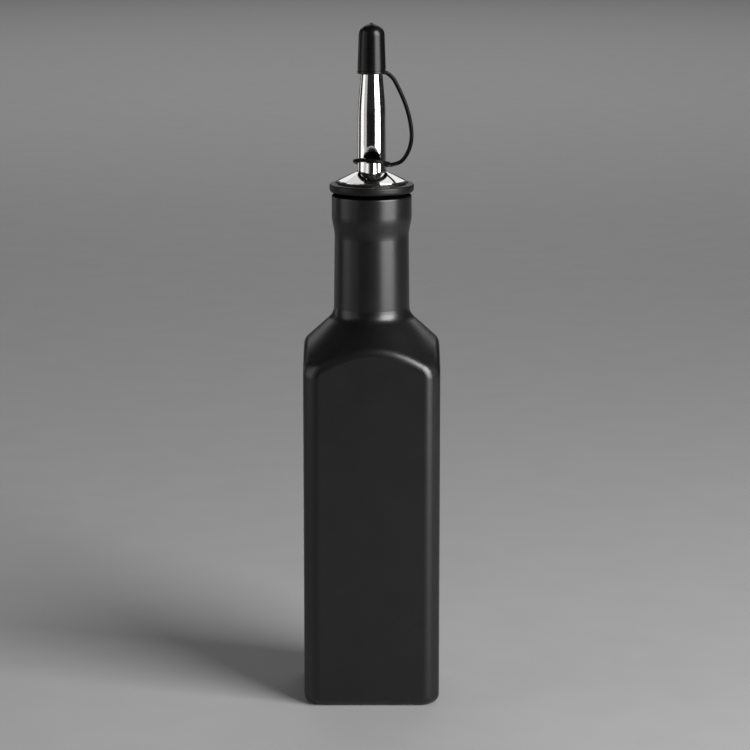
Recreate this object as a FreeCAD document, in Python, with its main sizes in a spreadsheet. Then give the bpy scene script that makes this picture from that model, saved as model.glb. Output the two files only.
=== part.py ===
"""Square bottle with a pour spout: bottle, stopper collar, steel spout, rubber cap, tether and tether ring.

Millimetres. The origin is the middle of the bottle's base, +Z is up and the vent of the spout faces -Y.
"""

import FreeCAD, Part

import math
import os

import Sketcher
from FreeCAD import Placement, Rotation, Vector

X_AXIS = Vector(1, 0, 0)
Y_AXIS = Vector(0, 1, 0)
Z_AXIS = Vector(0, 0, 1)
TOLERANCE = 0.01
ARC_SHARE = 0.45  # how much of its shorter run an arc of the tether takes up
ROUND_SHARE = 0.48  # how much of a slanted line one rounding may take up
# The sketcher's numbers for its own axes and for the points of an edge
HORIZONTAL_AXIS, VERTICAL_AXIS = -1, -2
START, END, CENTRE = 1, 2, 3

DIMENSIONS = {
    # Bottle: a square body with turned corners, under a conical shoulder that ends each flat face in an arch
    "body_width": 60.0,
    "corner_reach": 9.0,  # from the middle of a face out to the turned corners
    "corner_shoulder_round": 9.0,  # where the turned corners meet the shoulder
    "heel_round": 4.2,
    "base_rim": 6.8,  # flat rim of the base, between the heel and the recess
    "recess_slope": 3.5,
    "recess_depth": 1.2,
    "recess_round": 3.0,
    "shoulder_foot": 160.5,  # height at which the cone meets the middle of a face
    "shoulder_slope": 42.26,
    "face_edge_round": 5.3,  # round each flat face, up its sides and over its arch
    "neck_foot_radius": 16.75,
    "neck_foot_round": 7.0,
    "neck_height": 52.76,  # from where the cone meets the neck up to the mouth
    "neck_top_radius": 16.32,
    "flare_height": 6.6,
    "flare_round": 16.0,
    "finish_height": 10.5,
    "finish_radius": 17.6,
    "mouth_round": 1.0,
    # Stopper collar: it rests on the mouth, and carries the spout on a raised seat
    "collar_overhang": 0.95,  # beyond the finish
    "collar_height": 4.9,
    "collar_foot_round": 1.6,
    "stem_inset": 2.05,  # the stem between collar and mouth, inside the collar's side
    "stem_height": 1.0,
    "collar_top_round": 1.0,
    "collar_rim": 3.3,  # between the collar's side and the seat
    "seat_rise": 0.9,
    "seat_round": 0.35,
    "groove_width": 0.8,
    "groove_depth": 0.4,
    # Spout: a thin flange, a low cone and a tapered tube; its heights are above the collar's seat
    "flange_inset": 0.55,  # inside the seat's edge
    "flange_edge": 0.45,
    "flange_round": 0.18,
    "tube_foot": 4.4,
    "tube_foot_radius": 6.42,
    "tube_foot_round": 1.1,
    "tube_knee": 31.9,
    "tube_knee_radius": 6.13,
    "tube_knee_round": 90.0,
    "tube_tip": 56.7,
    "tube_tip_radius": 3.9,
    "tube_tip_round": 0.5,
    # Vent: a half-moon mouth in a dished wall, above the half-round end of the breather tube
    "vent_sill": 1.2,  # above the breather's top
    "vent_radius": 3.3,
    "vent_setback": 1.5,
    "vent_dish_slope": 66.6,
    "vent_depth": 4.6,
    "breather_inset": 2.17,  # its middle, inside the foot of the tube
    "breather_radius": 3.15,
    "breather_top": 8.6,
    "breather_blend": 0.8,
    "breather_bore_radius": 1.9,
    "breather_bore_depth": 6.0,
    # Cap: a rubber sleeve on the tip of the tube
    "cap_grip": 9.6,  # how much of the tube's tip it holds
    "cap_height": 21.7,
    "cap_lip_radius": 6.3,
    "cap_lip_height": 1.5,
    "cap_lip_round": 0.3,
    "cap_groove_radius": 5.98,
    "cap_groove_width": 0.35,
    "cap_skirt_radius": 6.2,
    "cap_crown_radius": 5.5,
    "cap_dome_round": 5.25,
    "cap_nub_radius": 0.75,
    "cap_nub_height": 0.3,
    "cap_nub_round": 0.22,
    "cap_clearance": 0.15,
    # Tether: a thin rubber cord from the cap's lip to a loose ring round the foot of the tube
    "tether_diameter": 1.8,
    "root_bend": 3.4,
    "root_droop": 8.0,
    "root_stem": 0.7,
    "ring_clearance": 0.43,  # round the foot of the tube
    "ring_diameter": 1.7,
    "ring_drop": 0.63,  # its middle, below the breather's top
    "ring_shift": 0.2,
    "ring_front_tilt": 14.0,
    "ring_side_tilt": 5.4,
}

# The tether's route: the distance from the tube's axis towards +X, and the height above the collar's seat
TETHER_ROUTE = [
    (7.3, 46.9),
    (9.2, 45.4),
    (10.7, 42.75),
    (12.4, 39.3),
    (14.3, 35.0),
    (15.9, 30.2),
    (17.1, 25.0),
    (17.6, 19.8),
    (17.0, 15.5),
    (15.6, 12.0),
    (13.7, 9.2),
    (11.5, 7.75),
    (9.0, 7.25),
]

document = FreeCAD.newDocument("PourSpoutBottle")


def make_sheet():
    """The spreadsheet of driving dimensions: a row holds a name, and the value under that alias."""
    sheet = document.addObject("Spreadsheet::Sheet", "Sizes")
    for row, (alias, value) in enumerate(DIMENSIONS.items(), start=1):
        sheet.set(f"A{row}", alias)
        sheet.set(f"B{row}", str(value))
        sheet.setAlias(f"B{row}", alias)
    document.recompute()
    return sheet


sizes = make_sheet()


def measure(expression):
    """The number that an expression on the sheet gives."""
    return float(sizes.evalExpression(expression))


# ---- Places that several pieces share, as expressions on the sheet ----

NECK_FOOT_INSET = "(Sizes.body_width / 2 - Sizes.neck_foot_radius)"
NECK_FOOT = f"Sizes.shoulder_foot + {NECK_FOOT_INSET} * tan(Sizes.shoulder_slope)"
MOUTH = f"{NECK_FOOT} + Sizes.neck_height"
FLARE_END = f"{MOUTH} - Sizes.finish_height"
RECESS_RADIUS = "Sizes.body_width / 2 - Sizes.heel_round - Sizes.base_rim"
COLLAR_RADIUS = "Sizes.finish_radius + Sizes.collar_overhang"
COLLAR_TOP = f"{MOUTH} + Sizes.collar_height"
SEAT_RADIUS = f"{COLLAR_RADIUS} - Sizes.collar_rim"
SEAT = f"{COLLAR_TOP} + Sizes.seat_rise"
FLANGE_RADIUS = f"{SEAT_RADIUS} - Sizes.flange_inset"
BREATHER_OFFSET = "(Sizes.tube_foot_radius - Sizes.breather_inset)"
BREATHER_TOP = f"{SEAT} + Sizes.breather_top"
VENT_SILL = f"{BREATHER_TOP} + Sizes.vent_sill"
TUBE_TIP = f"{SEAT} + Sizes.tube_tip"
TIP_TAPER = "(Sizes.tube_knee_radius - Sizes.tube_tip_radius) / (Sizes.tube_tip - Sizes.tube_knee)"
CAP_FOOT = f"{TUBE_TIP} - Sizes.cap_grip"
CAP_CROWN = f"{CAP_FOOT} + Sizes.cap_height"
RING_RADIUS = "Sizes.tube_foot_radius + Sizes.ring_clearance + Sizes.ring_diameter / 2"


# ---- Helpers for bodies, sketches and edges ----


def new_body(label):
    body = document.addObject("PartDesign::Body", label)
    body.Label = label
    return body


def new_sketch(body, role, name):
    """A sketch on one of the body's own origin planes."""
    sketch = body.newObject("Sketcher::SketchObject", name)
    plane = next(feature for feature in body.Origin.OriginFeatures if feature.Role == role)
    sketch.AttachmentSupport = [(plane, "")]
    sketch.MapMode = "FlatFace"
    return sketch


def dimension(sketch, kind, geometry, point, expression):
    """A driving dimension that follows the sheet; a plain 0 puts the point on the axis instead."""
    if expression == "0":
        axis = {"DistanceX": VERTICAL_AXIS, "DistanceY": HORIZONTAL_AXIS}[kind]
        sketch.addConstraint(Sketcher.Constraint("PointOnObject", geometry, point, axis))
        return
    index = sketch.addConstraint(Sketcher.Constraint(kind, geometry, point, measure(expression)))
    sketch.setExpression(f"Constraints[{index}]", expression)


def radius_dimension(sketch, geometry, expression):
    index = sketch.addConstraint(Sketcher.Constraint("Radius", geometry, measure(expression)))
    sketch.setExpression(f"Constraints[{index}]", expression)


def outline(body, role, name, corners):
    """A closed outline through corners, each (across, up) or, where it is rounded, (across, up, radius)."""
    sketch = new_sketch(body, role, name)
    points = [Vector(measure(corner[0]), measure(corner[1]), 0) for corner in corners]
    lines = [
        sketch.addGeometry(Part.LineSegment(start, end), False)
        for start, end in zip(points, points[1:] + points[:1])
    ]
    for line, following in zip(lines, lines[1:] + lines[:1]):
        sketch.addConstraint(Sketcher.Constraint("Coincident", line, END, following, START))
    anchors = [(line, START) for line in lines]
    arcs = []
    for index, corner in enumerate(corners):
        if len(corner) < 3:
            continue
        before, after = points[index - 1], points[(index + 1) % len(points)]
        near_before = (points[index] + before) / 2
        near_after = (points[index] + after) / 2
        sketch.fillet(
            lines[index - 1], lines[index], near_before, near_after, measure(corner[2]), True, True, False
        )
        arc, corner_point = sketch.GeometryCount - 2, sketch.GeometryCount - 1
        anchors[index] = (corner_point, START)
        arcs.append((arc, corner[2]))
    for (geometry, point), corner in zip(anchors, corners):
        dimension(sketch, "DistanceX", geometry, point, corner[0])
        dimension(sketch, "DistanceY", geometry, point, corner[1])
    for arc, radius in arcs:
        radius_dimension(sketch, arc, radius)
    return sketch


def round_that_fits(wanted, across, up):
    """The wanted radius, or what a short slanted line, that far across and up, has room for at both ends."""
    slant = f"sqrt({across} ^ 2 + {up} ^ 2)"
    return f"min({wanted}; {ROUND_SHARE} * {slant} * ({slant} + {up}) / (abs({across}) + {TOLERANCE}))"


def circle(body, role, name, radius, across="0", up="0"):
    sketch = new_sketch(body, role, name)
    middle = Vector(measure(across), measure(up), 0)
    ring = sketch.addGeometry(Part.Circle(middle, Z_AXIS, measure(radius)), False)
    dimension(sketch, "DistanceX", ring, CENTRE, across)
    dimension(sketch, "DistanceY", ring, CENTRE, up)
    radius_dimension(sketch, ring, radius)
    return sketch


def revolve(body, kind, name, sketch, axis="V_Axis"):
    """A full turn about one of the sketch's axes, Revolution to add or Groove to cut."""
    feature = body.newObject(f"PartDesign::{kind}", name)
    feature.Profile = sketch
    feature.ReferenceAxis = (sketch, [axis])
    feature.Angle = 360
    return feature


def extrude(body, kind, name, sketch, length, reversed_way=False):
    """A straight feature from a sketch, Pad to add or Pocket to cut."""
    feature = body.newObject(f"PartDesign::{kind}", name)
    feature.Profile = sketch
    feature.setExpression("Length", length)
    feature.Reversed = reversed_way
    return feature


def round_edges(body, name, radius, chosen):
    """Fillet those edges of the body so far that the test chooses."""
    document.recompute()
    base = body.Tip
    names = [f"Edge{index}" for index, edge in enumerate(base.Shape.Edges, start=1) if chosen(edge)]
    fillet = body.newObject("PartDesign::Fillet", name)
    fillet.Base = (base, names)
    fillet.setExpression("Radius", radius)
    return fillet


# ---- Bottle ----


def make_bottle():
    """A square block turned down to its corners, a conical shoulder, a neck and a wider finish."""
    body = new_body("bottle")
    half = "Sizes.body_width / 2"
    square = [(half, half), (f"-{half}", half), (f"-{half}", f"-{half}"), (half, f"-{half}")]
    plan = outline(body, "XY_Plane", "BodyPlan", square)
    extrude(body, "Pad", "BodyBlock", plan, MOUTH)

    reach = "Sizes.body_width"
    corner_radius = "(Sizes.body_width / 2 + Sizes.corner_reach)"
    corner_top = "Sizes.shoulder_foot - Sizes.corner_reach * tan(Sizes.shoulder_slope)"
    flare_run = "(Sizes.finish_radius - Sizes.neck_top_radius)"
    flare_round = round_that_fits("Sizes.flare_round", flare_run, "Sizes.flare_height")
    turned = outline(
        body,
        "XZ_Plane",
        "ShoulderAndNeck",
        [
            (reach, "0"),
            (corner_radius, "0"),
            (corner_radius, corner_top, "Sizes.corner_shoulder_round"),
            ("Sizes.neck_foot_radius", NECK_FOOT, "Sizes.neck_foot_round"),
            ("Sizes.neck_top_radius", f"{FLARE_END} - Sizes.flare_height", flare_round),
            ("Sizes.finish_radius", FLARE_END, flare_round),
            ("Sizes.finish_radius", MOUTH),
            (reach, MOUTH),
        ],
    )
    revolve(body, "Groove", "TurnedTop", turned)

    half_width, mouth = measure(half), measure(MOUTH)

    def round_faces(edge):
        on_face = [max(abs(v.X), abs(v.Y)) > half_width - TOLERANCE for v in edge.Vertexes]
        return all(on_face) and edge.BoundBox.ZMax > TOLERANCE

    def on_mouth(edge):
        return edge.BoundBox.ZMin > mouth - TOLERANCE

    def on_base(edge):
        return edge.BoundBox.ZMax < TOLERANCE

    round_edges(body, "FaceEdges", "Sizes.face_edge_round", round_faces)
    round_edges(body, "Heel", "Sizes.heel_round", on_base)
    round_edges(body, "Mouth", "Sizes.mouth_round", on_mouth)

    recess = outline(
        body,
        "XZ_Plane",
        "BaseRecess",
        [
            ("0", "0"),
            (RECESS_RADIUS, "0"),
            (f"{RECESS_RADIUS} - Sizes.recess_slope", "Sizes.recess_depth", "Sizes.recess_round"),
            ("0", "Sizes.recess_depth"),
        ],
    )
    revolve(body, "Groove", "Recess", recess)
    return body


# ---- Stopper collar ----


def make_collar():
    """The rubber collar on the bottle's mouth, with a fine groove round the seat of the spout."""
    body = new_body("stopper_collar")
    stem_radius = f"{COLLAR_RADIUS} - Sizes.stem_inset"
    collar_foot = f"{MOUTH} + Sizes.stem_height"
    groove_edge = f"{SEAT_RADIUS} + Sizes.groove_width"
    groove_floor = f"{COLLAR_TOP} - Sizes.groove_depth"
    profile = outline(
        body,
        "XZ_Plane",
        "CollarProfile",
        [
            ("0", MOUTH),
            (stem_radius, MOUTH),
            (stem_radius, collar_foot),
            (COLLAR_RADIUS, collar_foot, "Sizes.collar_foot_round"),
            (COLLAR_RADIUS, COLLAR_TOP, "Sizes.collar_top_round"),
            (groove_edge, COLLAR_TOP),
            (groove_edge, groove_floor),
            (SEAT_RADIUS, groove_floor),
            (SEAT_RADIUS, SEAT, "Sizes.seat_round"),
            ("0", SEAT),
        ],
    )
    revolve(body, "Revolution", "CollarTurned", profile)
    return body


# ---- Spout ----


def make_spout():
    """The steel spout: flange, cone and tapered tube, with the vent at the foot of its front."""
    body = new_body("pour_spout")
    profile = outline(
        body,
        "XZ_Plane",
        "SpoutProfile",
        [
            ("0", SEAT),
            (FLANGE_RADIUS, SEAT, "Sizes.flange_round"),
            (FLANGE_RADIUS, f"{SEAT} + Sizes.flange_edge", "Sizes.flange_round"),
            ("Sizes.tube_foot_radius", f"{SEAT} + Sizes.tube_foot", "Sizes.tube_foot_round"),
            ("Sizes.tube_knee_radius", f"{SEAT} + Sizes.tube_knee", "Sizes.tube_knee_round"),
            ("Sizes.tube_tip_radius", TUBE_TIP, "Sizes.tube_tip_round"),
            ("0", TUBE_TIP),
        ],
    )
    revolve(body, "Revolution", "SpoutTurned", profile)

    breather = circle(
        body, "XY_Plane", "BreatherPlan", "Sizes.breather_radius", up=f"-{BREATHER_OFFSET}"
    )
    breather.setExpression("AttachmentOffset.Base.z", f"{SEAT} + Sizes.flange_edge")
    extrude(body, "Pad", "BreatherBoss", breather, "Sizes.breather_top - Sizes.flange_edge")

    front, boss_top = measure("Sizes.tube_foot_radius"), measure(BREATHER_TOP)

    def beside_boss(edge):
        box = edge.BoundBox
        return box.YMax < -front / 2 and box.ZLength > 2 and box.ZMax < boss_top + TOLERANCE

    round_edges(body, "BreatherBlend", "Sizes.breather_blend", beside_boss)

    lip = "(Sizes.tube_foot_radius - Sizes.vent_setback)"
    outside = "(Sizes.tube_foot_radius + 1)"
    flare = f"({outside} - {lip}) * tan(Sizes.vent_dish_slope)"
    inner = "Sizes.tube_foot_radius - Sizes.vent_depth"
    mouth = outline(
        body,
        "YZ_Plane",
        "VentMouth",
        [
            (f"-({inner})", "0"),
            (f"-{outside}", "0"),
            (f"-{outside}", f"Sizes.vent_radius + {flare}"),
            (f"-{lip}", "Sizes.vent_radius"),
            (f"-({inner})", "Sizes.vent_radius"),
        ],
    )
    mouth.setExpression("AttachmentOffset.Base.y", VENT_SILL)
    vent = revolve(body, "Groove", "Vent", mouth, "H_Axis")
    vent.Angle = 180
    vent.Midplane = True

    bore = circle(
        body, "XY_Plane", "BreatherBorePlan", "Sizes.breather_bore_radius", up=f"-{BREATHER_OFFSET}"
    )
    bore.setExpression("AttachmentOffset.Base.z", VENT_SILL)
    extrude(body, "Pocket", "BreatherBore", bore, "Sizes.breather_bore_depth")
    return body


# ---- Cap ----


def tip_radius_below(depth):
    """The outside radius of the tube's tapered end at a depth below its tip."""
    return f"(Sizes.tube_tip_radius + {depth} * {TIP_TAPER})"


def make_cap_sleeve():
    """The rubber cap: a domed sleeve with a lip and a small nub, hollow over the tip of the tube."""
    body = new_body("cap_sleeve")
    lip_top = f"{CAP_FOOT} + Sizes.cap_lip_height"
    skirt_foot = f"{lip_top} + Sizes.cap_groove_width"
    profile = outline(
        body,
        "XZ_Plane",
        "CapProfile",
        [
            ("0", CAP_FOOT),
            ("Sizes.cap_lip_radius", CAP_FOOT, "Sizes.cap_lip_round"),
            ("Sizes.cap_lip_radius", lip_top, "Sizes.cap_lip_round"),
            ("Sizes.cap_groove_radius", lip_top),
            ("Sizes.cap_groove_radius", skirt_foot),
            ("Sizes.cap_skirt_radius", skirt_foot),
            ("Sizes.cap_crown_radius", CAP_CROWN, "Sizes.cap_dome_round"),
            ("0", CAP_CROWN),
        ],
    )
    revolve(body, "Revolution", "CapTurned", profile)
    nub = circle(body, "XY_Plane", "NubPlan", "Sizes.cap_nub_radius")
    nub.setExpression("AttachmentOffset.Base.z", f"{CAP_CROWN} - Sizes.cap_nub_radius")
    extrude(body, "Pad", "Nub", nub, "Sizes.cap_nub_radius + Sizes.cap_nub_height")
    crown = measure(CAP_CROWN)
    round_edges(body, "NubEdge", "Sizes.cap_nub_round", lambda edge: edge.BoundBox.ZMin > crown + TOLERANCE)
    cavity = outline(
        body,
        "XZ_Plane",
        "CapCavity",
        [
            ("0", CAP_FOOT),
            (f"{tip_radius_below('Sizes.cap_grip')} + Sizes.cap_clearance", CAP_FOOT),
            ("Sizes.tube_tip_radius + Sizes.cap_clearance", TUBE_TIP),
            ("0", TUBE_TIP),
        ],
    )
    revolve(body, "Groove", "Cavity", cavity)
    return body


# ---- Tether: the cord, and the root of it on the cap and on the ring ----


def seat_point(across, rise):
    """A point in the plane y = 0, from its distance to the axis and its height above the seat."""
    return Vector(across, 0, measure(SEAT) + rise)


def bar(name, start, end, diameter):
    """A round bar between two points."""
    cylinder = document.addObject("Part::Cylinder", name)
    cylinder.setExpression("Radius", f"{diameter} / 2")
    cylinder.Height = (end - start).Length
    cylinder.Placement = Placement(start, Rotation(Z_AXIS, end - start))
    return cylinder


def make_cap(route):
    """The cap with its tether's root, which leaves the lip nearly level and bends down to the cord."""
    sleeve = make_cap_sleeve()
    run = (route[1] - route[0]).normalize()
    droop = math.degrees(math.atan2(-run.z, run.x))
    start_angle = measure("Sizes.root_droop")
    bend = document.addObject("Part::Torus", "RootBend")
    bend.setExpression("Radius1", "Sizes.root_bend")
    bend.setExpression("Radius2", "Sizes.tether_diameter / 2")
    bend.Angle3 = droop - start_angle
    middle = route[0] - Y_AXIS.cross(run).normalize() * -measure("Sizes.root_bend")
    upward = Rotation(Y_AXIS, start_angle).multVec(Z_AXIS)
    along = Rotation(Y_AXIS, start_angle).multVec(X_AXIS)
    bend.Placement = Placement(middle, Rotation(upward, along, Y_AXIS, "ZXY"))
    stem_end = middle + upward * measure("Sizes.root_bend")
    stem = bar("RootStem", stem_end - along * measure("Sizes.root_stem"), stem_end, "Sizes.tether_diameter")
    cap = document.addObject("Part::MultiFuse", "spout_cap")
    cap.Label = "spout_cap"
    cap.Shapes = [sleeve, bend, stem]
    return cap


def make_ring(route):
    """The ring that hangs loosely round the foot of the tube, with the root of the tether's far end."""
    torus = document.addObject("Part::Torus", "Ring")
    torus.setExpression("Radius1", RING_RADIUS)
    torus.setExpression("Radius2", "Sizes.ring_diameter / 2")
    front = Rotation(X_AXIS, -measure("Sizes.ring_front_tilt"))
    side = Rotation(Y_AXIS, measure("Sizes.ring_side_tilt"))
    middle = seat_point(measure("Sizes.ring_shift"), measure("Sizes.breather_top - Sizes.ring_drop"))
    torus.Placement = Placement(middle, side.multiply(front))
    right = torus.Placement.multVec(X_AXIS * measure(RING_RADIUS))
    run = (route[-1] - route[-2]).normalize()
    inner = route[-1] + run * (right - route[-1]).Length
    root = bar("RingRoot", inner, route[-1], "Sizes.tether_diameter")
    ring = document.addObject("Part::Fuse", "tether_ring")
    ring.Label = "tether_ring"
    ring.Base = torus
    ring.Tool = root
    return ring


def rounded_path(points):
    """Straight runs joined by tangent arcs, each as large as its shorter run allows, and the radii."""
    edges, radii = [], []
    start = points[0]
    for before, corner, after in zip(points, points[1:], points[2:]):
        arrive, leave = (corner - before), (after - corner)
        shorter = min(arrive.Length, leave.Length)
        half_turn = arrive.getAngle(leave) / 2
        cut = ARC_SHARE * shorter
        radius = cut / math.tan(half_turn)
        arrive.normalize()
        leave.normalize()
        first, last = corner - arrive * cut, corner + leave * cut
        inward = (leave - arrive).normalize()
        middle = corner + inward * (radius / math.cos(half_turn) - radius)
        edges.append(Part.LineSegment(start, first).toShape())
        edges.append(Part.Arc(first, middle, last).toShape())
        radii.append(radius)
        start = last
    edges.append(Part.LineSegment(start, points[-1]).toShape())
    return Part.Wire(edges), radii


def make_tether(route):
    """The free cord between the two roots, a plain tube along its route."""
    path, radii = rounded_path(route)
    diameter = measure("Sizes.tether_diameter")
    section = Part.Wire(Part.Circle(route[0], route[1] - route[0], diameter / 2).toShape())
    tube = path.makePipeShell([section], True, False)
    expected = math.pi * diameter**2 / 4 * path.Length
    print(f"tether: length {path.Length:.2f}, volume / (section x length) {tube.Volume / expected:.4f}")
    print("tether radii in diameters:", [round(radius / diameter, 1) for radius in radii])
    tether = document.addObject("Part::Feature", "cap_tether")
    tether.Label = "cap_tether"
    tether.Shape = tube
    tether.Placement = Placement()
    return tether


# ---- Build, check and write ----


def check_document():
    """Stop if any object failed to recompute."""
    failed = [item.Name for item in document.Objects if {"Invalid", "Error"} & set(item.State)]
    if failed:
        raise RuntimeError(f"these objects failed: {', '.join(failed)}")


def check_cuts(body):
    """Stop if a feature that should cut its body took nothing away."""
    for feature in body.Group:
        if feature.TypeId in ("PartDesign::Groove", "PartDesign::Pocket"):
            if feature.Shape.Volume > feature.BaseFeature.Shape.Volume - TOLERANCE:
                raise RuntimeError(f"{body.Label}: {feature.Name} cuts nothing")


def write_step(part):
    """Write one sub-part's single solid to its own file."""
    shape = part.Shape
    if shape.isNull() or not shape.isValid() or len(shape.Solids) != 1:
        raise RuntimeError(f"{part.Label} isn't one valid solid")
    shape.exportStep(os.path.join("parts", f"{part.Label}.step"))
    print(f"{part.Label}: {shape.Volume:.1f} mm3")


def main():
    route = [seat_point(across, rise) for across, rise in TETHER_ROUTE]
    parts = [
        make_bottle(),
        make_collar(),
        make_spout(),
        make_cap(route),
        make_tether(route),
        make_ring(route),
    ]
    document.recompute()
    check_document()
    for item in document.Objects:
        if item.TypeId == "PartDesign::Body":
            check_cuts(item)
    os.makedirs("parts", exist_ok=True)
    for part in parts:
        write_step(part)


main()
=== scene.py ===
"""Finish, floor, light and camera for the square bottle with a pour spout.

Metres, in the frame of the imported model: the origin is the middle of the bottle's base, +Z is up
and the vent of the spout faces -Y.
"""

import math

import bpy
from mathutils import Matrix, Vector


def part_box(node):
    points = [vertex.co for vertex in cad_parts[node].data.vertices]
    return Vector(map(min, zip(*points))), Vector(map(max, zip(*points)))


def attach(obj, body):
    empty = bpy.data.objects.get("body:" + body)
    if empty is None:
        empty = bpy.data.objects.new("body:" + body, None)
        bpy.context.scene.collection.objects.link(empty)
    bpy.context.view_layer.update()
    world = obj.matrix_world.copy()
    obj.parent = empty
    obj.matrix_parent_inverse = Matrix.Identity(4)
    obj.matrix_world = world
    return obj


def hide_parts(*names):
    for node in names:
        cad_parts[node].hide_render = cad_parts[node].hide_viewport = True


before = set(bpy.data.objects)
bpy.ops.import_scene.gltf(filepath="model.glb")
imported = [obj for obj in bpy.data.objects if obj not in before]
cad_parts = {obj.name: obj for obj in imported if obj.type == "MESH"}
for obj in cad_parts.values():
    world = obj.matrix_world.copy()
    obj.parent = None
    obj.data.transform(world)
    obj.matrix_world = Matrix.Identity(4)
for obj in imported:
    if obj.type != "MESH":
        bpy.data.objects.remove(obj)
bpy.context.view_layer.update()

MM = 0.001

# ---- Sizes shared with the solids ----

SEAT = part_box("pour_spout")[0].z  # where the flange lies on the collar
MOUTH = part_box("stopper_collar")[0].z  # the top of the bottle
SILL = SEAT + 9.8 * MM  # the flat foot of the vent's mouth
# The vent's pocket and bore, where the steel is darkened with painted shade, and the edge over
# which that shade fades in
POCKET_RADIUS, POCKET_LIP, POCKET_BACK = 3.4 * MM, 4.8 * MM, 1.7 * MM
BORE_RADIUS, BORE_OFFSET, BORE_DEPTH = 1.95 * MM, 4.25 * MM, 6.1 * MM
MASK_EDGE = 0.12 * MM  # over which the vent's dark inside begins

# The gap under the collar gets painted shade: where it begins, and where it is full
BOTTLE_PAINTED_SHADE = MOUTH - 0.7 * MM, MOUTH - 0.2 * MM
COLLAR_PAINTED_SHADE = MOUTH + 1.7 * MM, MOUTH + 1.4 * MM

# The rubbed heel: where the rubbing begins, and where it is strongest
HEEL_RUB = 5 * MM, 0.5 * MM

TETHER_DIAMETER = 1.8 * MM
TETHER_ROUTE = [  # across and height, in millimetres, from the cap's lip down to the ring
    (7.3, 278.0),
    (9.2, 276.5),
    (10.7, 273.85),
    (12.4, 270.4),
    (14.3, 266.1),
    (15.9, 261.3),
    (17.1, 256.1),
    (17.6, 250.9),
    (17.0, 246.6),
    (15.6, 243.1),
    (13.7, 240.3),
    (11.5, 238.85),
    (9.0, 238.35),
]

# ---- Camera and studio ----

CAMERA_PITCH = math.radians(11.4)  # looking down
CAMERA_DISTANCE = 1289 * MM
CAMERA_TARGET = Vector((1.45 * MM, 0, 144.3 * MM))
CAMERA_SENSOR, CAMERA_LENS = 36, 139.2
CAMERA_CLIP = 50 * MM
FLOOR_REACH = 6.0
WORLD_LEVEL = 0.02

# The sockets of a mix node that blends colours
FIRST_COLOUR, SECOND_COLOUR, MIXED_COLOUR = 6, 7, 2


# ---- Shader maths ----


class Wire:
    """The output of a shader node; arithmetic on it adds the Math nodes."""

    def __init__(self, finish, socket):
        self.finish = finish
        self.socket = socket

    def __add__(self, other):
        return self.finish.maths("ADD", self, other)

    def __mul__(self, other):
        return self.finish.maths("MULTIPLY", self, other)

    __radd__ = __add__
    __rmul__ = __mul__


class Finish:
    """A material in the making."""

    def __init__(self, name):
        self.material = bpy.data.materials.new(name)
        self.material.use_nodes = True
        self.tree = self.material.node_tree
        self.tree.nodes.clear()
        self.place = self.node("ShaderNodeTexCoord", {}, {}, "Object")

    def node(self, kind, settings, sockets, output=0):
        """Add a node: its settings first, then the value or the wire of each socket."""
        made = self.tree.nodes.new(kind)
        for name, value in settings.items():
            setattr(made, name, value)
        for name, value in sockets.items():
            if isinstance(value, Wire):
                self.tree.links.new(value.socket, made.inputs[name])
            else:
                made.inputs[name].default_value = value
        return None if output is None else Wire(self, made.outputs[output])

    def maths(self, operation, first, second):
        return self.node("ShaderNodeMath", {"operation": operation}, {0: first, 1: second})

    def noise(self, size, detail=3, stretch=(1, 1, 1)):
        """Noise from 0 to 1 whose features are about that size in metres."""
        scaled = self.node(
            "ShaderNodeVectorMath", {"operation": "MULTIPLY"}, {0: self.place, 1: stretch}
        )
        return self.node(
            "ShaderNodeTexNoise", {}, {"Vector": scaled, "Scale": 1 / size, "Detail": detail}
        )

    def range(self, value, start, end):
        """0 where the value is start, 1 where it is end, and smooth between them."""
        return self.node(
            "ShaderNodeMapRange",
            {"interpolation_type": "SMOOTHSTEP"},
            {"Value": value, "From Min": start, "From Max": end},
        )

    def axis(self, letter):
        """The place along X, Y or Z."""
        return self.node("ShaderNodeSeparateXYZ", {}, {"Vector": self.place}, letter)

    def between(self, letter, low, high):
        """1 between two places along an axis, 0 beyond them."""
        place = self.axis(letter)
        return self.range(place, low - MASK_EDGE, low) * self.range(place, high + MASK_EDGE, high)

    def blend(self, share, first, second):
        """A colour between two, by share."""
        return self.node(
            "ShaderNodeMix",
            {"data_type": "RGBA"},
            {"Factor": share, FIRST_COLOUR: first, SECOND_COLOUR: second},
            MIXED_COLOUR,
        )

    def relief(self, height, depth):
        """The shader's normal over a height from 0 to 1, that deep in metres."""
        return self.node("ShaderNodeBump", {}, {"Height": height, "Distance": depth})

    def surface(self, sockets, shade=None):
        """Close the material with a Principled shader; where shade is 1, a near-black shader is
        mixed in as painted shade in the gap under the collar.
        """
        shader = self.node("ShaderNodeBsdfPrincipled", {}, sockets)
        # Painted shade: a near-black shader mixed in by the shade mask, standing in for the shade
        # between bottle and collar
        if shade is not None:
            dark = {"Base Color": grey(0.001), "Roughness": 1.0, "Specular IOR Level": 0.0}
            painted_shade_shader = self.node("ShaderNodeBsdfPrincipled", {}, dark)
            shader = self.node("ShaderNodeMixShader", {}, {0: shade, 1: shader, 2: painted_shade_shader})
        self.node("ShaderNodeOutputMaterial", {}, {"Surface": shader}, None)
        return self.material


def grey(level, warmth=0.0):
    return (level * (1 + warmth), level, level * (1 - warmth), 1)


# ---- Finishes ----


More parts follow.
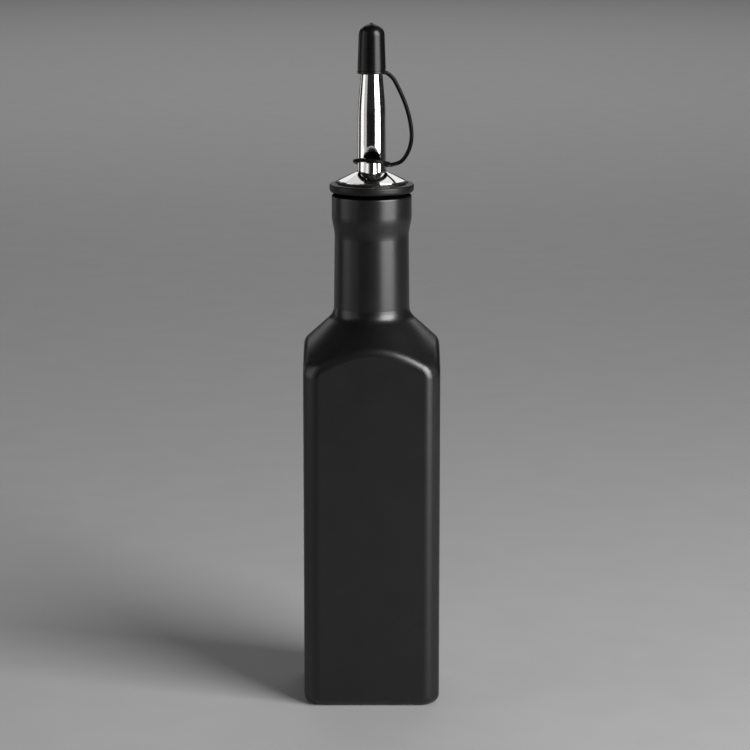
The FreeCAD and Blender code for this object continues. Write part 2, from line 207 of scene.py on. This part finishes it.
def satin_black_coating():
    """The bottle's satin black coat: a fine orange peel, faint clouding, a rubbed heel, and painted
    shade at its mouth under the collar.
    """
    coat = Finish("satin_black_coating")
    clouding = coat.noise(14 * MM, detail=4)
    mottle = coat.noise(1.6 * MM, detail=2)
    peel = coat.noise(0.55 * MM, detail=1)
    height = coat.axis("Z")
    rubbed = coat.range(height, *HEEL_RUB) * coat.range(coat.noise(3 * MM), 0.45, 0.7)
    colour = coat.blend(clouding * 0.6 + mottle * 0.4, grey(0.0005), grey(0.0055))
    return coat.surface(
        {
            "Base Color": coat.blend(rubbed * 0.6, colour, grey(0.02)),
            "Roughness": 0.27 + 0.04 * clouding + 0.04 * mottle + 0.12 * rubbed,
            "Normal": coat.relief(peel + mottle, 0.006 * MM),
        },
        # painted shade on the bottle's mouth, in the gap under the collar
        shade=coat.range(height, *BOTTLE_PAINTED_SHADE),
    )


def collar_rubber():
    """Matte black rubber, with a fine moulded grain and a little dust in it, and painted shade at
    its foot over the bottle's mouth.
    """
    rubber = Finish("collar_rubber")
    grain = rubber.noise(0.3 * MM)
    dust = rubber.range(rubber.noise(0.9 * MM, detail=5), 0.6, 0.78)
    return rubber.surface(
        {
            "Base Color": rubber.blend(dust * 0.4, grey(0.002), grey(0.012)),
            "Roughness": 0.36 + 0.1 * grain,
            "Specular IOR Level": 0.3,
            "Normal": rubber.relief(grain, 0.012 * MM),
        },
        # painted shade on the collar's foot, in the gap over the bottle's mouth
        shade=rubber.range(rubber.axis("Z"), *COLLAR_PAINTED_SHADE),
    )


def cap_rubber():
    """Satin black rubber of the cap, a little uneven from handling."""
    rubber = Finish("cap_rubber")
    grain = rubber.noise(0.25 * MM)
    handling = rubber.noise(4 * MM)
    return rubber.surface(
        {
            "Base Color": rubber.blend(handling, grey(0.0015), grey(0.003)),
            "Roughness": 0.2 + 0.06 * grain + 0.06 * handling,
            "Specular IOR Level": 0.25,
            "Normal": rubber.relief(grain, 0.006 * MM),
        }
    )


def cord_rubber():
    """Smooth, deep black rubber of the thin cord and the ring."""
    rubber = Finish("cord_rubber")
    grain = rubber.noise(0.2 * MM, detail=2)
    return rubber.surface(
        {
            "Base Color": grey(0.003),
            "Roughness": 0.17 + 0.05 * grain,
            "Specular IOR Level": 0.06,
            "Normal": rubber.relief(grain, 0.003 * MM),
        }
    )


def polished_steel():
    """Polished stainless steel with faint turning lines; the vent's inside is rougher, and painted
    shade makes its colour near black.
    """
    steel = Finish("polished_steel")
    turning = steel.noise(1 * MM, detail=2, stretch=(0.3, 0.3, 9))
    smear = steel.noise(5 * MM)
    shell = steel.blend(smear, grey(0.72, 0.015), grey(0.80, 0.02))
    pocket = (
        steel.between("X", -POCKET_RADIUS, POCKET_RADIUS)
        * steel.between("Y", -POCKET_LIP, -POCKET_BACK)
        * steel.between("Z", SILL, SILL + POCKET_RADIUS)
    )
    bore = (
        steel.between("X", -BORE_RADIUS, BORE_RADIUS)
        * steel.between("Y", -BORE_OFFSET - BORE_RADIUS, -BORE_OFFSET + BORE_RADIUS)
        * steel.between("Z", SILL - BORE_DEPTH, SILL)
    )
    # Painted shade: the steel in the vent's pocket and bore is made near black
    inside = steel.maths("MAXIMUM", pocket, bore)
    return steel.surface(
        {
            "Base Color": steel.blend(inside, shell, grey(0.004)),
            "Metallic": 1.0,
            "Roughness": 0.05 + 0.04 * smear + 0.03 * turning + 0.4 * inside,
            "Normal": steel.relief(turning, 0.0015 * MM),
        }
    )


def pale_floor():
    """The floor's plain pale grey, barely clouded."""
    floor = Finish("pale_floor")
    tone = floor.noise(30 * MM, detail=4)
    colour = floor.blend(tone, grey(0.28), grey(0.31))
    return floor.surface({"Base Color": colour, "Roughness": 0.7})


def dress(node, material):
    """Give a CAD node its finish."""
    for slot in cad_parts[node].material_slots:
        slot.material = material


# ---- Pieces ----


def place(piece):
    """Put a new object in the scene."""
    bpy.context.scene.collection.objects.link(piece)


def make_tether(material):
    """The free cord from the cap's lip down to the ring: one smooth line through its route."""
    curve = bpy.data.curves.new("tether_cord", "CURVE")
    curve.dimensions = "3D"
    curve.bevel_depth = TETHER_DIAMETER / 2
    curve.bevel_resolution = 6
    curve.resolution_u = 16
    curve.use_fill_caps = True
    line = curve.splines.new("NURBS")
    line.points.add(len(TETHER_ROUTE) - 1)
    for point, (across, height) in zip(line.points, TETHER_ROUTE):
        point.co = (across * MM, 0, height * MM, 1)
    line.order_u = 3
    line.use_endpoint_u = True
    curve.materials.append(material)
    tether = bpy.data.objects.new("tether_cord", curve)
    place(tether)
    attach(tether, "root")
    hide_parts("cap_tether")
    across, height = TETHER_ROUTE[0]


# ---- Studio ----


def make_floor():
    """A plain square of floor."""
    mesh = bpy.data.meshes.new("floor")
    signs = [(-1, -1), (1, -1), (1, 1), (-1, 1)]
    corners = [(x * FLOOR_REACH, y * FLOOR_REACH, 0) for x, y in signs]
    mesh.from_pydata(corners, [], [(0, 1, 2, 3)])
    mesh.materials.append(pale_floor())
    piece = bpy.data.objects.new("floor", mesh)
    place(piece)


def stand(bearing, distance, height):
    """A place on the floor plan: bearing in degrees to the right of the camera's side."""
    turn = math.radians(bearing)
    return (distance * math.sin(turn), -distance * math.cos(turn), height)


def panel(name, stands, aim, width, tall, brightness):
    """A soft panel light that faces its aim, of an even brightness over its face."""
    light = bpy.data.lights.new(name, "AREA")
    light.shape = "RECTANGLE"
    light.size, light.size_y = width, tall
    light.energy = brightness * math.pi * width * tall
    piece = bpy.data.objects.new(name, light)
    piece.location = stands
    piece.rotation_euler = (Vector(aim) - Vector(stands)).to_track_quat("-Z", "Y").to_euler()
    piece.visible_camera = False
    place(piece)


def softbox(name, bearing, distance, height, width, tall, brightness, aim_height=None):
    """A panel that faces the bottle's axis, level unless it aims at another height."""
    aim = (0, 0, height if aim_height is None else aim_height)
    panel(name, stand(bearing, distance, height), aim, width, tall, brightness)


def make_lights():
    """A strong softbox on the right, weak ones on the left, and some behind for floor and steel."""
    softbox("right_low", 51, 1.0, 0.25, width=0.76, tall=0.4, brightness=8.5)
    softbox("right_high", 51, 1.0, 0.85, width=0.76, tall=0.8, brightness=15)
    softbox("left", -82, 1.0, 0.51, width=0.52, tall=0.96, brightness=1.3)
    softbox("left_front", -54, 1.02, 0.51, width=0.45, tall=0.96, brightness=0.55)
    panel("rear_wash", (0, 3.2, 1.2), (0, 3.2, 0), width=3.2, tall=3.4, brightness=1.0)
    flange = 0.235
    softbox("rear_left", -159, 0.85, 1.1, 0.42, 0.62, brightness=0.8, aim_height=flange)
    softbox("rear_right", 157, 0.85, 1.1, 0.46, 0.62, brightness=1.0, aim_height=flange)
    softbox("rim_left", -131, 1.2, 0.3, width=0.16, tall=0.5, brightness=1.1)
    world = bpy.data.worlds.new("studio")
    world.use_nodes = True
    world.node_tree.nodes["Background"].inputs["Color"].default_value = grey(WORLD_LEVEL)
    bpy.context.scene.world = world
    bpy.context.scene.view_settings.view_transform = "Standard"


def make_camera():
    """A long lens, a little above the bottle and looking slightly down on it."""
    camera = bpy.data.cameras.new("camera")
    camera.sensor_width = CAMERA_SENSOR
    camera.lens = CAMERA_LENS
    camera.clip_start = CAMERA_CLIP
    piece = bpy.data.objects.new("camera", camera)
    back = Vector((0, -math.cos(CAMERA_PITCH), math.sin(CAMERA_PITCH)))
    piece.location = CAMERA_TARGET + CAMERA_DISTANCE * back
    piece.rotation_euler = (math.pi / 2 - CAMERA_PITCH, 0, 0)
    place(piece)
    bpy.context.scene.camera = piece


make_camera()
cord = cord_rubber()
make_tether(cord)
dress("bottle", satin_black_coating())
dress("stopper_collar", collar_rubber())
dress("pour_spout", polished_steel())
dress("spout_cap", cap_rubber())
dress("tether_ring", cord)
make_floor()
make_lights()
